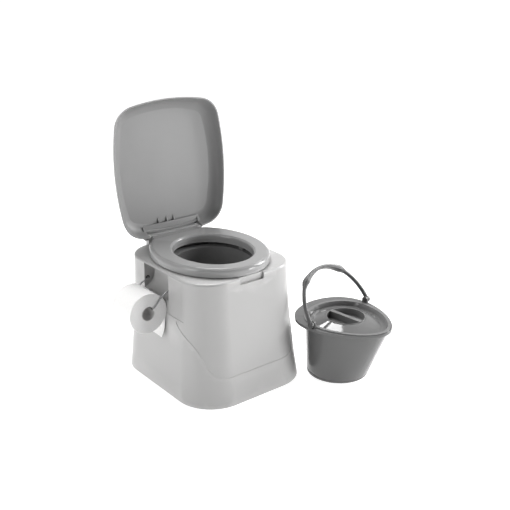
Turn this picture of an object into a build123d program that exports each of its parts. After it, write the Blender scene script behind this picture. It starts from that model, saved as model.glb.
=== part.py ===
from build123d import *
import math
import os

# Portable camping toilet: a moulded housing with a hinged seat and lid, a waste pail that
# hangs in the deck, a wire toilet-roll holder on the left wall, and a second, identical pail
# with its own lid and bail standing in front. Millimetres, +Z up, the housing's front faces -Y.

os.makedirs("parts", exist_ok=True)

# Where the toilet and the loose pail stand, so that the whole set is centred on the origin
TOILET_X = -65.0
TOILET_Y = 89.0
PAIL_X = TOILET_X + 288.5
PAIL_Y = TOILET_Y - 274.6
PAIL_TURN = math.radians(-83.2)  # direction of the pail's pointed end
HANG_Y = -10.0  # the hanging pail's centre, ahead of the housing's

# Housing
WALL = 4.0
DECK_HEIGHT = 360.0
DECK_WIDTH = 350.0
DECK_DEPTH = 402.0
DECK_CORNER = 92.0
DECK_CENTRE_Y = 7.0
FLARE_WIDTH = 50.0  # how much wider the foot is than the deck
FLARE_DEPTH = 59.4
FLARE_CORNER = 20.0
FLARE_POWER = 1.6
FLARE_TOP = 350.0  # straight walls above this height
HOUSING_FOOT = 2.0
DECK_ROUND = 7.0
SKIRT_PROUD = 1.0
SKIRT_REACH = 260.0  # beyond the housing's foot
SKIRT_FRONT_HEIGHT = 85.0
SKIRT_REAR_HEIGHT = 240.0
SKIRT_RISE = ((-217.0, SKIRT_FRONT_HEIGHT), (-185.0, 126.0), (-140.0, 190.0), (-84.0, 232.0))

# Rubber feet
PAD_RADIUS = 13.0
PAD_HEIGHT = 4.0
PAD_X = 152.0
PAD_FRONT_Y = -180.0
PAD_REAR_Y = 180.0
COLUMN_RADIUS = 18.0
COLUMN_TOP = 60.0

# Pail, in its own frame: x towards the pointed end, base on z = 0
PAIL_LENGTH_HALF = 151.0
PAIL_WIDTH_HALF = 128.2
PAIL_SQUEEZE = 0.24  # how much narrower the pointed end is
EGG_POINTS = 24
PAIL_HEIGHT = 179.8
PAIL_WALL = 2.6
PAIL_BASE_RADIUS = 92.5
PAIL_BASE_X = -24.6
PAIL_BASE_ROUND = 16.0
PAIL_MOUTH_X = 14.0
PAIL_MOUTH_LENGTH_HALF = 131.0
PAIL_MOUTH_WIDTH_HALF = 112.0
MOUTH_SQUEEZE = 0.2
FLANGE_THICKNESS = 3.0
FLANGE_LIP = 8.0
PAIL_LUG_INNER = 119.0
PAIL_LUG_THICKNESS = 6.0
PIVOT_X = -22.0
PIVOT_HEIGHT = 191.0
PIVOT_PIN_RADIUS = 3.5
LUG_RADIUS = 10.0

# Hanging pail and the well that holds it
HANG_RIM = 350.0
WELL_CLEARANCE = 2.0
LEDGE_THICKNESS = 4.0
LEDGE_TOP = HANG_RIM - FLANGE_LIP
WELL_DEPTH = DECK_HEIGHT - LEDGE_TOP
LEDGE_HOLE_CLEARANCE = 3.0

# Finger recess in the deck's front edge
RECESS_WIDTH = 84.0
RECESS_HEIGHT = 19.0
RECESS_BACK_Y = -187.0
RECESS_CORNER = 5.0

# Pail lid, in the pail's frame
BRIM_HEIGHT = PAIL_HEIGHT + 0.2
BRIM_OVERLAP = 2.5  # beyond the pail's mouth
BRIM_THICKNESS = 2.4
LID_SKIN = 2.4
PLUG_CLEARANCE = 1.0
DISH_FLOOR = 169.0
DISH_TAPER = 5.0  # how much smaller the dish is at its floor
DISH_X = 12.0
DISH_CROWN = 15.0
CROWN_BORDER = 8.0
GRIP_WELL_RADIUS = 56.0
GRIP_WELL_DEPTH = 20.0
GRIP_FLOOR = DISH_FLOOR + DISH_CROWN - GRIP_WELL_DEPTH
GRIP_BAR_WIDTH = 13.0
GRIP_X = 0.0

# Bail
BAIL_HALF_SPAN = 131.0
BAIL_RISE = 145.0
BAIL_THICKNESS = 8.0
BAIL_WIDTH = 10.0
BAIL_GRIP_WIDTH = 22.0
BAIL_GRIP_X = 76.0  # half the length of the grip, along the pivot line
BAIL_TAPER_X = 96.0  # where its tapered ends meet the strap
BAIL_FAR = 170.0  # beyond the top of the arch
BAIL_LEAN = math.radians(36.0)  # back towards the blunt end
BAIL_EYE_RADIUS = 9.0
BAIL_EYE_SPAN = (127.0, 135.0)
BAIL_BORE_SPAN = (120.0, 142.0)
PIVOT_PIN_SPAN = (117.2, 137.0)
PIVOT_HEAD_SPAN = (117.2, 118.9)
PIVOT_WASHER_SPAN = (125.0, 126.7)
PIVOT_CAP_SPAN = (135.2, 138.5)
PIVOT_HEAD_RADIUS = 6.0

# Hinge line of the seat and the lid
HINGE_Y = 198.0
HINGE_Z = 382.0
HINGE_PIN_RADIUS = 4.0
HINGE_EYE_RADIUS = 8.0
RUNNING_FIT = 0.08
SEAT_EAR = (76.0, 83.5)
TOWER = (84.0, 94.0)
LID_EAR = (94.5, 102.0)
PIN_SPAN = (72.5, 104.0)
PIN_HEAD_RADIUS = 5.5
PIN_HEAD_THICKNESS = 2.5
PIN_CAP_THICKNESS = 2.0
PIN_CAP_START = 102.3

# Seat
SEAT_CENTRE_Y = 10.0
SEAT_WIDTH_HALF = 162.0
SEAT_LENGTH_HALF = 200.0
SEAT_REAR_Y = 174.0
SEAT_FOOT = 362.2
SEAT_TOP = 387.0
SEAT_SKIN = 3.5
SEAT_ROUND = 11.0
OPENING_CENTRE_Y = -10.0
OPENING_LENGTH_HALF = 131.0
OPENING_WIDTH_HALF = 110.0
OPENING_ROUND = 8.0
SEAT_EAR_ROOT_Y = 168.0
BARREL_SKIN = 2.0
FAIRING_TOP = 4.0  # top of the web that carries the barrel, above the hinge line
BUFFER_RADIUS = 8.0
BUFFER_HEIGHT = 2.0
BUFFER_PLACES = ((108.0, -110.0), (-108.0, -110.0), (106.0, 130.0), (-106.0, 130.0))

# Lid, in a frame on the hinge line with the lid shut: y towards the rear, z up
LID_OPEN = math.radians(93.9)
LID_RIM = -20.0
LID_TOP = 19.0
LID_CENTRE_Y = -202.0
LID_CORNER_X = 170.0
LID_CORNER_Y = 185.0
LID_SIDE_X = 192.0
LID_END_Y = 207.0
LID_CORNER_ROUND = 70.0
LID_PROFILE = ((-20.0, 0.0), (-9.0, 3.5), (4.0, 9.5), (13.0, 18.0), (19.0, 32.0))  # height, inset
LID_WALL = 3.0
LID_NOTCH_HALF = 94.3
LID_NOTCH_FRONT = -16.0
LID_NOTCH_REAR = 12.0
LID_NOTCH_TOP = 6.4
HOOD_INNER = 8.5  # the hood runs round the seat's barrel, about the hinge line
HOOD_OUTER = 10.5
HOOD_HALF = 83.4
HOOD_START = 60.0
HOOD_END = 137.0
HOOD_WEB_OUTLINE = ((-6.0, 8.6), (-6.0, 10.5), (-34.0, 10.5), (-34.0, 8.6))
LID_EAR_ROOT_Y = -30.0
LID_EAR_ROOT_FOOT = 8.5  # clear of the seat
GUSSET_THICKNESS = 3.5
GUSSET_XS = (-42.0, -12.0, 13.0)
GUSSET_OUTLINE = ((-14.0, 9.0), (-32.0, 9.0), (-54.0, 17.0), (-14.0, 17.0))

# Roll, roll holder and the side pocket that it folds into
POCKET_FRONT_Y = -41.0
POCKET_REAR_Y = 86.0
POCKET_FLOOR = 280.0
POCKET_TOP = 355.0
POCKET_BACK_X = -141.0
POCKET_MOUTH_X = -178.0  # where the floor leaves the wall
POCKET_OUTER_X = -205.0  # clear of the wall
POCKET_ROOT_X = -172.0  # inside the wall
POCKET_SLOPE_TOP = 326.0
POCKET_MIDDLE = (-151.5, 297.0)  # a point of the scoop between its foot and its back
POCKET_SKIN = 3.0
WIRE_RADIUS = 2.0
WIRE_BEND = 4.0
WIRE_PIVOT = (-165.0, 308.0)
WIRE_KNEE = (-191.0, 299.0)
WIRE_END = 1.0  # how far the wire's ends stand out of the bushes
WIRE_REACH = 6.5  # from a pocket end wall to the wire's corner
LEG_CLEARANCE = 3.5
BUSH_RADIUS = 4.0
BUSH_FLANGE_RADIUS = 6.0
BUSH_FLANGE_THICKNESS = 1.0
ROLL_RADIUS = 58.5
ROLL_LENGTH = 100.0
ROLL_X = -238.5
ROLL_Y = 17.0
ROLL_Z = 254.0
CORE_INNER = 20.0
CORE_WALL = 1.2
CORE_GAP = 0.8  # between the wire and the core's bore
WIRE_IN_CORE_ANGLE = math.radians(32.5)
TAIL_THICKNESS = 0.4
TAIL_GAP = 0.3
TAIL_START = 50.0
TAIL_END = -20.0
TAIL_TIP = (-198.5, 170.0)


def toilet_level(height):
    """Horizontal plane of the toilet's frame at a height."""
    return Plane(origin=(TOILET_X, TOILET_Y, height))


def toilet_side(x):
    """Upright plane across X: local x runs to the rear, local y up."""
    return Plane(origin=(TOILET_X + x, TOILET_Y, 0), x_dir=(0, 1, 0), z_dir=(1, 0, 0))


def toilet_front(y):
    """Upright plane across Y: local x runs to the right, local y up, normal to the front."""
    return Plane(origin=(TOILET_X, TOILET_Y + y, 0), x_dir=(1, 0, 0), z_dir=(0, -1, 0))


def pail_level(height):
    """Level of the loose pail's frame, local x towards its pointed end."""
    return Plane(
        origin=(PAIL_X, PAIL_Y, height),
        x_dir=(math.cos(PAIL_TURN), math.sin(PAIL_TURN), 0),
        z_dir=(0, 0, 1),
    )


def hanging_level(height):
    """Level of the hanging pail's frame, its base at height 0 and pointed end to the front."""
    return Plane(
        origin=(TOILET_X, TOILET_Y + HANG_Y, HANG_RIM - PAIL_HEIGHT + height),
        x_dir=(0, -1, 0),
        z_dir=(0, 0, 1),
    )


def pail_side(level, across):
    """Upright plane along a pail's length: local x to its pointed end, local y up."""
    base = level(0)
    return Plane(
        origin=base.from_local_coords((0, across, 0)),
        x_dir=base.x_dir,
        z_dir=-base.y_dir,
    )


def arch_plane():
    """Plane of the bail's arch: local x along the pivot line, local y up the leaning arch."""
    base = pail_level(0)
    return Plane(
        origin=base.from_local_coords((PIVOT_X, 0, PIVOT_HEIGHT)),
        x_dir=base.y_dir,
        z_dir=base.x_dir * math.cos(BAIL_LEAN) + base.z_dir * math.sin(BAIL_LEAN),
    )


def arch_foot_plane():
    """Plane across the foot of the bail's arch: local x along the pivot line, normal up the arch."""
    arch = arch_plane()
    return Plane(origin=arch.origin, x_dir=arch.x_dir, z_dir=arch.y_dir)


def lid_level(height):
    """Level of the shut lid's frame, turned open about the hinge line."""
    return Plane(
        origin=(
            TOILET_X,
            TOILET_Y + HINGE_Y + height * math.sin(LID_OPEN),
            HINGE_Z + height * math.cos(LID_OPEN),
        ),
        x_dir=(1, 0, 0),
        z_dir=(0, math.sin(LID_OPEN), math.cos(LID_OPEN)),
    )


def lid_side(x):
    """Upright plane across the lid's X: local x to its rear, local y up when shut."""
    return Plane(
        origin=(TOILET_X + x, TOILET_Y + HINGE_Y, HINGE_Z),
        x_dir=(0, math.cos(LID_OPEN), -math.sin(LID_OPEN)),
        z_dir=(1, 0, 0),
    )


def mirrored_spans(span):
    """The same span of X on the right and on the left."""
    return ((span[0], span[1]), (-span[1], -span[0]))


# ---------------------------------------------------------------- housing


def housing_section(height, inset):
    """Rounded rectangle of the flared housing at a height, pulled in by inset."""
    spread = (max(FLARE_TOP - height, 0) / FLARE_TOP) ** FLARE_POWER
    plane = Plane(origin=(TOILET_X, TOILET_Y + DECK_CENTRE_Y * (1 - spread), height))
    with BuildSketch(plane) as section:
        RectangleRounded(
            DECK_WIDTH + FLARE_WIDTH * spread - 2 * inset,
            DECK_DEPTH + FLARE_DEPTH * spread - 2 * inset,
            DECK_CORNER + FLARE_CORNER * spread - inset,
        )
    return section.sketch.face()


def egg_outline(plane, centre, length_half, width_half, squeeze):
    """Egg-shaped face, narrower towards local +x."""
    points = []
    for step in range(EGG_POINTS):
        angle = 2 * math.pi * step / EGG_POINTS
        along = centre + length_half * math.cos(angle)
        across = width_half * math.sin(angle) * (1 - squeeze * math.cos(angle))
        points.append((along, across))
    with BuildSketch(plane) as outline:
        with BuildLine():
            Spline(*points, periodic=True)
        make_face()
    return outline.sketch.face()


def egg_face(plane, inset):
    """Outline of the pail's flange, pulled in by inset."""
    return egg_outline(plane, 0, PAIL_LENGTH_HALF - inset, PAIL_WIDTH_HALF - inset, PAIL_SQUEEZE)


def well_face(height, grow):
    """Outline of the well for the hanging pail's flange at a height above the floor."""
    return egg_face(hanging_level(height - HANG_RIM + PAIL_HEIGHT), -WELL_CLEARANCE - grow)


def mouth_face(plane, centre, inset):
    """Outline of the pail's mouth, pulled in by inset."""
    length_half = PAIL_MOUTH_LENGTH_HALF - inset
    return egg_outline(plane, centre, length_half, PAIL_MOUTH_WIDTH_HALF - inset, MOUTH_SQUEEZE)


SECTION_HEIGHTS = (HOUSING_FOOT, 60.0, 130.0, 210.0, 290.0, FLARE_TOP)
PAD_PLACES = [(sx * PAD_X, y) for y in (PAD_FRONT_Y, PAD_REAR_Y) for sx in (-1, 1)]

# Material below the swoosh line: level at the front, rising along the sides to the rear
with BuildPart() as skirt:
    loft(sections=[housing_section(height, -SKIRT_PROUD) for height in SECTION_HEIGHTS])
    with BuildSketch(toilet_side(0)):
        with BuildLine():
            swoosh = Spline(
                (-SKIRT_REACH, SKIRT_FRONT_HEIGHT),
                *SKIRT_RISE,
                (0, SKIRT_REAR_HEIGHT),
                tangents=((1, 0), (1, 0)),
            )
            Polyline(
                swoosh @ 1,
                (SKIRT_REACH, SKIRT_REAR_HEIGHT),
                (SKIRT_REACH, 0),
                (-SKIRT_REACH, 0),
                swoosh @ 0,
            )
        make_face()
    extrude(amount=DECK_WIDTH, both=True, mode=Mode.INTERSECT)

# Room inside the shell, interrupted by the four columns that carry the feet
with BuildPart() as cavity:
    loft(sections=[housing_section(height, WALL) for height in SECTION_HEIGHTS])
    extrude(housing_section(FLARE_TOP, WALL), amount=DECK_HEIGHT - WALL - FLARE_TOP)
    with BuildSketch(toilet_level(HOUSING_FOOT)):
        with Locations(*PAD_PLACES):
            Circle(COLUMN_RADIUS)
    extrude(amount=COLUMN_TOP, mode=Mode.SUBTRACT)

# Solid that surrounds the side pocket: a curved scoop between two end walls
with BuildPart() as pocket_body:
    with BuildSketch(toilet_front(POCKET_FRONT_Y - POCKET_SKIN)):
        with BuildLine():
            scoop = ThreePointArc(
                (POCKET_ROOT_X, POCKET_FLOOR - POCKET_SKIN),
                (POCKET_MIDDLE[0] + POCKET_SKIN, POCKET_MIDDLE[1] - POCKET_SKIN),
                (POCKET_BACK_X + POCKET_SKIN, POCKET_SLOPE_TOP),
            )
            Polyline(
                scoop @ 1,
                (POCKET_BACK_X + POCKET_SKIN, DECK_HEIGHT - WALL / 2),
                (POCKET_ROOT_X, DECK_HEIGHT - WALL / 2),
                scoop @ 0,
            )
        make_face()
    extrude(amount=-(POCKET_REAR_Y - POCKET_FRONT_Y + 2 * POCKET_SKIN))

with BuildPart() as pocket_room:
    with BuildSketch(toilet_front(POCKET_FRONT_Y)):
        with BuildLine():
            scoop = ThreePointArc(
                (POCKET_MOUTH_X, POCKET_FLOOR),
                POCKET_MIDDLE,
                (POCKET_BACK_X, POCKET_SLOPE_TOP),
            )
            Polyline(
                scoop @ 1,
                (POCKET_BACK_X, POCKET_TOP),
                (POCKET_OUTER_X, POCKET_TOP),
                (POCKET_OUTER_X, POCKET_FLOOR - 2 * POCKET_SKIN),
                scoop @ 0,
            )
        make_face()
    extrude(amount=-(POCKET_REAR_Y - POCKET_FRONT_Y))

with BuildPart() as housing:
    extrude(housing_section(FLARE_TOP, 0), amount=DECK_HEIGHT - FLARE_TOP)
    fillet(housing.faces().sort_by(Axis.Z)[-1].edges(), DECK_ROUND)
    loft(sections=[housing_section(height, 0) for height in SECTION_HEIGHTS])
    add(skirt.part)
    add(cavity.part, mode=Mode.SUBTRACT)
    # well under the deck that takes the hanging pail's flange, with a ledge to carry it
    ledge_bottom = LEDGE_TOP - LEDGE_THICKNESS
    extrude(well_face(ledge_bottom, WALL), amount=WELL_DEPTH + LEDGE_THICKNESS / 2)
    extrude(well_face(LEDGE_TOP, 0), amount=2 * WELL_DEPTH, mode=Mode.SUBTRACT)
    ledge_plane = hanging_level(ledge_bottom - HANG_RIM + PAIL_HEIGHT)
    ledge_hole = mouth_face(ledge_plane, PAIL_MOUTH_X, -LEDGE_HOLE_CLEARANCE)
    extrude(ledge_hole, amount=WELL_DEPTH, both=True, mode=Mode.SUBTRACT)
    # side pocket, with a pivot hole for the wire in each end wall
    add(pocket_body.part)
    add(pocket_room.part, mode=Mode.SUBTRACT)
    with BuildSketch(toilet_front(POCKET_FRONT_Y - 2 * POCKET_SKIN)):
        with Locations(WIRE_PIVOT):
            Circle(BUSH_RADIUS)
    extrude(amount=-(POCKET_REAR_Y - POCKET_FRONT_Y + 4 * POCKET_SKIN), mode=Mode.SUBTRACT)
    # finger recess in the front edge of the deck
    with BuildSketch(toilet_front(RECESS_BACK_Y - WALL)):
        with Locations((0, DECK_HEIGHT - RECESS_HEIGHT / 2 - WALL)):
            Rectangle(RECESS_WIDTH + 2 * WALL, RECESS_HEIGHT)
    extrude(amount=-2 * WALL)
    with BuildSketch(toilet_front(RECESS_BACK_Y)):
        with Locations((0, DECK_HEIGHT)):
            RectangleRounded(RECESS_WIDTH, 2 * RECESS_HEIGHT, RECESS_CORNER)
    extrude(amount=4 * WALL, mode=Mode.SUBTRACT)
    # seats for the rubber feet
    with BuildSketch(toilet_level(HOUSING_FOOT)):
        with Locations(*PAD_PLACES):
            Circle(PAD_RADIUS)
    extrude(amount=PAD_HEIGHT - HOUSING_FOOT, mode=Mode.SUBTRACT)
    # hinge towers at the rear of the deck
    for inner, outer in mirrored_spans(TOWER):
        with BuildSketch(toilet_side(inner)):
            with Locations((HINGE_Y, HINGE_Z)):
                Circle(HINGE_EYE_RADIUS)
            with Locations((HINGE_Y, (HINGE_Z + DECK_HEIGHT - WALL) / 2)):
                Rectangle(2 * HINGE_EYE_RADIUS, HINGE_Z - DECK_HEIGHT + WALL)
            with Locations((HINGE_Y, HINGE_Z)):
                Circle(HINGE_PIN_RADIUS + RUNNING_FIT, mode=Mode.SUBTRACT)
        extrude(amount=outer - inner)
housing.part.label = "housing"
export_step(housing.part, "parts/housing.step")

with BuildPart() as foot_pads:
    with BuildSketch(toilet_level(0)):
        with Locations(*PAD_PLACES):
            Circle(PAD_RADIUS)
    extrude(amount=PAD_HEIGHT)
    chamfer(foot_pads.edges().group_by(Axis.Z)[0], 1.0)
foot_pads.part.label = "foot_pads"
export_step(foot_pads.part, "parts/foot_pads.step")

with BuildPart() as hinge_pins:
    for side in (1, -1):
        with BuildSketch(toilet_side(side * PIN_SPAN[0])):
            with Locations((HINGE_Y, HINGE_Z)):
                Circle(HINGE_PIN_RADIUS)
        extrude(amount=side * (PIN_SPAN[1] - PIN_SPAN[0]))
        with BuildSketch(toilet_side(side * PIN_SPAN[0])):
            with Locations((HINGE_Y, HINGE_Z)):
                Circle(PIN_HEAD_RADIUS)
        extrude(amount=side * PIN_HEAD_THICKNESS)
hinge_pins.part.label = "hinge_pins"
export_step(hinge_pins.part, "parts/hinge_pins.step")

# Push-on caps that close the outer ends of the hinge pins
with BuildPart() as hinge_caps:
    for side in (1, -1):
        with BuildSketch(toilet_side(side * PIN_CAP_START)):
            with Locations((HINGE_Y, HINGE_Z)):
                Circle(PIN_HEAD_RADIUS)
        extrude(amount=side * (PIN_SPAN[1] - PIN_CAP_START + PIN_CAP_THICKNESS))
    add(hinge_pins.part, mode=Mode.SUBTRACT)
hinge_caps.part.label = "hinge_caps"
export_step(hinge_caps.part, "parts/hinge_caps.step")

# Snap-in bushes in the pocket's end walls for the wire's ends
with BuildPart() as wire_bushes:
    for face_y, side in ((POCKET_REAR_Y, 1), (POCKET_FRONT_Y, -1)):
        with BuildSketch(toilet_front(face_y)):
            with Locations(WIRE_PIVOT):
                Circle(BUSH_RADIUS)
        extrude(amount=-side * POCKET_SKIN)
        with BuildSketch(toilet_front(face_y)):
            with Locations(WIRE_PIVOT):
                Circle(BUSH_FLANGE_RADIUS)
        extrude(amount=side * BUSH_FLANGE_THICKNESS)
        with BuildSketch(toilet_front(face_y)):
            with Locations(WIRE_PIVOT):
                Circle(WIRE_RADIUS + RUNNING_FIT)
        extrude(amount=2 * POCKET_SKIN, both=True, mode=Mode.SUBTRACT)
wire_bushes.part.label = "wire_bushes"
export_step(wire_bushes.part, "parts/wire_bushes.step")


# ---------------------------------------------------------------- pails


def build_pail(level):
    """The moulded pail: flared wall, wide flange with a turned-down lip, two pivot lugs."""
    mouth_height = PAIL_HEIGHT - FLANGE_THICKNESS
    with BuildPart() as lip:
        extrude(egg_face(level(PAIL_HEIGHT - FLANGE_LIP), 0), amount=FLANGE_LIP - FLANGE_THICKNESS / 2)
        lip_room = egg_face(level(PAIL_HEIGHT - FLANGE_LIP), PAIL_WALL)
        extrude(lip_room, amount=FLANGE_LIP, mode=Mode.SUBTRACT)
    with BuildPart() as hollow:
        with BuildSketch(level(PAIL_WALL)) as hollow_base:
            with Locations((PAIL_BASE_X, 0)):
                Circle(PAIL_BASE_RADIUS - PAIL_WALL)
        hollow_foot = hollow_base.sketch.face()
        loft(sections=[hollow_foot, mouth_face(level(mouth_height), PAIL_MOUTH_X, PAIL_WALL)])
        fillet(hollow.edges().group_by(Axis.Z)[0], PAIL_BASE_ROUND - PAIL_WALL)
        extrude(hollow.faces().sort_by(Axis.Z)[-1], amount=2 * FLANGE_THICKNESS)
    with BuildPart() as pail:
        with BuildSketch(level(0)) as base:
            with Locations((PAIL_BASE_X, 0)):
                Circle(PAIL_BASE_RADIUS)
        loft(sections=[base.sketch.face(), mouth_face(level(mouth_height), PAIL_MOUTH_X, 0)])
        fillet(pail.edges().group_by(Axis.Z)[0], PAIL_BASE_ROUND)
        extrude(egg_face(level(mouth_height), 0), amount=FLANGE_THICKNESS)
        add(lip.part)
        add(hollow.part, mode=Mode.SUBTRACT)
        for start in (PAIL_LUG_INNER + PAIL_LUG_THICKNESS, -PAIL_LUG_INNER):
            with BuildSketch(pail_side(level, start)):
                with Locations((PIVOT_X, PIVOT_HEIGHT)):
                    Circle(LUG_RADIUS)
                with Locations((PIVOT_X, (PIVOT_HEIGHT + mouth_height) / 2)):
                    Rectangle(2 * LUG_RADIUS, PIVOT_HEIGHT - mouth_height)
                with Locations((PIVOT_X, PIVOT_HEIGHT)):
                    Circle(PIVOT_PIN_RADIUS + RUNNING_FIT, mode=Mode.SUBTRACT)
            extrude(amount=PAIL_LUG_THICKNESS)
    return pail


inner_pail = build_pail(hanging_level)
inner_pail.part.label = "inner_pail"
export_step(inner_pail.part, "parts/inner_pail.step")

pail = build_pail(pail_level)
pail.part.label = "pail"
export_step(pail.part, "parts/pail.step")

# Dished lid of the loose pail: brim on the flange, crowned floor, round finger well with a bar
with BuildPart() as crown_room:
    base_plane = pail_level(DISH_FLOOR - 2 * LID_SKIN)
    top_plane = pail_level(DISH_FLOOR + DISH_CROWN - LID_SKIN)
    with BuildSketch(top_plane) as crown_top:
        with Locations((GRIP_X, 0)):
            Circle(GRIP_WELL_RADIUS + LID_SKIN)
    crown_border = PLUG_CLEARANCE + PAIL_WALL + DISH_TAPER + CROWN_BORDER
    loft(sections=[mouth_face(base_plane, DISH_X, crown_border), crown_top.sketch.face()])

with BuildPart() as dish_room:
    dish_inset = PLUG_CLEARANCE + PAIL_WALL + LID_SKIN
    dish_floor = mouth_face(pail_level(DISH_FLOOR), DISH_X, dish_inset + DISH_TAPER)
    dish_mouth = mouth_face(pail_level(BRIM_HEIGHT + 2 * BRIM_THICKNESS), PAIL_MOUTH_X, dish_inset)
    loft(sections=[dish_floor, dish_mouth])
    with BuildSketch(pail_level(DISH_FLOOR + DISH_CROWN)) as crown_face:
        with Locations((GRIP_X, 0)):
            Circle(GRIP_WELL_RADIUS + LID_SKIN)
    crown_foot = mouth_face(pail_level(DISH_FLOOR - LID_SKIN), DISH_X, crown_border)
    loft(sections=[crown_foot, crown_face.sketch.face()], mode=Mode.SUBTRACT)

with BuildPart() as pail_lid:
    plug_inset = PLUG_CLEARANCE + PAIL_WALL
    plug_foot = mouth_face(pail_level(DISH_FLOOR - LID_SKIN), DISH_X, plug_inset + DISH_TAPER)
    plug_mouth = mouth_face(pail_level(BRIM_HEIGHT + BRIM_THICKNESS / 2), PAIL_MOUTH_X, plug_inset)
    loft(sections=[plug_foot, plug_mouth])
    extrude(mouth_face(pail_level(BRIM_HEIGHT), PAIL_MOUTH_X, -BRIM_OVERLAP), amount=BRIM_THICKNESS)
    add(dish_room.part, mode=Mode.SUBTRACT)
    add(crown_room.part, mode=Mode.SUBTRACT)
    with BuildSketch(pail_level(GRIP_FLOOR - LID_SKIN)):
        with Locations((GRIP_X, 0)):
            Circle(GRIP_WELL_RADIUS + LID_SKIN)
    extrude(amount=GRIP_WELL_DEPTH + LID_SKIN)
    with BuildSketch(pail_level(GRIP_FLOOR)):
        with Locations((GRIP_X, 0)):
            Circle(GRIP_WELL_RADIUS)
    extrude(amount=2 * GRIP_WELL_DEPTH, mode=Mode.SUBTRACT)
    with BuildSketch(pail_level(GRIP_FLOOR - LID_SKIN / 2)):
        with Locations((GRIP_X, 0)):
            Rectangle(2 * GRIP_WELL_RADIUS + LID_SKIN, GRIP_BAR_WIDTH)
    extrude(amount=GRIP_WELL_DEPTH + LID_SKIN)
pail_lid.part.label = "pail_lid"
export_step(pail_lid.part, "parts/pail_lid.step")

def arch_band(thickness):
    """Elliptical band of the arch above the pivot line."""
    with BuildSketch(arch_plane()) as band:
        Ellipse(BAIL_HALF_SPAN + thickness / 2, BAIL_RISE + thickness / 2)
        Ellipse(BAIL_HALF_SPAN - thickness / 2, BAIL_RISE - thickness / 2, mode=Mode.SUBTRACT)
        with Locations((0, BAIL_FAR / 2)):
            Rectangle(2 * BAIL_FAR, BAIL_FAR, mode=Mode.INTERSECT)
    return band.sketch


def pivot_discs(spans, radius):
    """Discs about the bail's pivot line, one for each span along it."""
    with BuildPart() as discs:
        for start, end in spans:
            with BuildSketch(pail_side(pail_level, end)):
                with Locations((PIVOT_X, PIVOT_HEIGHT)):
                    Circle(radius)
            extrude(amount=end - start)
    return discs.part


# Bail: an arched strap, widened over its middle to a grip, with an eye at each end
with BuildPart() as bail:
    extrude(arch_band(BAIL_THICKNESS), amount=BAIL_GRIP_WIDTH / 2, both=True)
    with BuildSketch(arch_foot_plane()):
        with BuildLine():
            Polyline(
                (BAIL_FAR, BAIL_WIDTH / 2),
                (BAIL_TAPER_X, BAIL_WIDTH / 2),
                (BAIL_GRIP_X, BAIL_GRIP_WIDTH / 2),
                (-BAIL_GRIP_X, BAIL_GRIP_WIDTH / 2),
                (-BAIL_TAPER_X, BAIL_WIDTH / 2),
                (-BAIL_FAR, BAIL_WIDTH / 2),
                (-BAIL_FAR, -BAIL_WIDTH / 2),
                (-BAIL_TAPER_X, -BAIL_WIDTH / 2),
                (-BAIL_GRIP_X, -BAIL_GRIP_WIDTH / 2),
                (BAIL_GRIP_X, -BAIL_GRIP_WIDTH / 2),
                (BAIL_TAPER_X, -BAIL_WIDTH / 2),
                (BAIL_FAR, -BAIL_WIDTH / 2),
                close=True,
            )
        make_face()
    extrude(amount=BAIL_FAR, mode=Mode.INTERSECT)
    add(pivot_discs(mirrored_spans(BAIL_EYE_SPAN), BAIL_EYE_RADIUS))
    add(pivot_discs(mirrored_spans(BAIL_BORE_SPAN), PIVOT_PIN_RADIUS + RUNNING_FIT), mode=Mode.SUBTRACT)
bail.part.label = "bail"
export_step(bail.part, "parts/bail.step")

with BuildPart() as bail_pins:
    add(pivot_discs(mirrored_spans(PIVOT_PIN_SPAN), PIVOT_PIN_RADIUS))
    add(pivot_discs(mirrored_spans(PIVOT_HEAD_SPAN), PIVOT_HEAD_RADIUS))
bail_pins.part.label = "bail_pins"
export_step(bail_pins.part, "parts/bail_pins.step")

with BuildPart() as bail_pin_caps:
    add(pivot_discs(mirrored_spans(PIVOT_CAP_SPAN), PIVOT_HEAD_RADIUS))
    add(bail_pins.part, mode=Mode.SUBTRACT)
bail_pin_caps.part.label = "bail_pin_caps"
export_step(bail_pin_caps.part, "parts/bail_pin_caps.step")

# Friction washers between the pail's lugs and the bail's eyes
with BuildPart() as bail_washers:
    add(pivot_discs(mirrored_spans(PIVOT_WASHER_SPAN), PIVOT_HEAD_RADIUS))
    add(pivot_discs(mirrored_spans(PIVOT_WASHER_SPAN), PIVOT_PIN_RADIUS + RUNNING_FIT), mode=Mode.SUBTRACT)
bail_washers.part.label = "bail_washers"
export_step(bail_washers.part, "parts/bail_washers.step")


# ---------------------------------------------------------------- seat


def seat_face(height, inset):
    """Seat outline: an ellipse cut straight across at the rear."""
    with BuildSketch(toilet_level(height)) as outline:
        with Locations((0, SEAT_CENTRE_Y)):
            Ellipse(SEAT_WIDTH_HALF - inset, SEAT_LENGTH_HALF - inset)
        with Locations((0, SEAT_REAR_Y - inset + SEAT_LENGTH_HALF / 2)):
            Rectangle(2 * SEAT_WIDTH_HALF, SEAT_LENGTH_HALF, mode=Mode.SUBTRACT)
    return outline.sketch.face()


def opening_face(height, grow):
    """Elliptical opening of the seat."""
    with BuildSketch(toilet_level(height)) as outline:
        with Locations((0, OPENING_CENTRE_Y)):
            Ellipse(OPENING_WIDTH_HALF + grow, OPENING_LENGTH_HALF + grow)
    return outline.sketch.face()


with BuildPart() as seat_room:
    extrude(seat_face(SEAT_FOOT, SEAT_SKIN), amount=SEAT_TOP - SEAT_FOOT - SEAT_SKIN)
    fillet(seat_room.faces().sort_by(Axis.Z)[-1].edges(), SEAT_ROUND - SEAT_SKIN)
    extrude(opening_face(SEAT_FOOT, SEAT_SKIN), amount=SEAT_TOP - SEAT_FOOT, mode=Mode.SUBTRACT)

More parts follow.
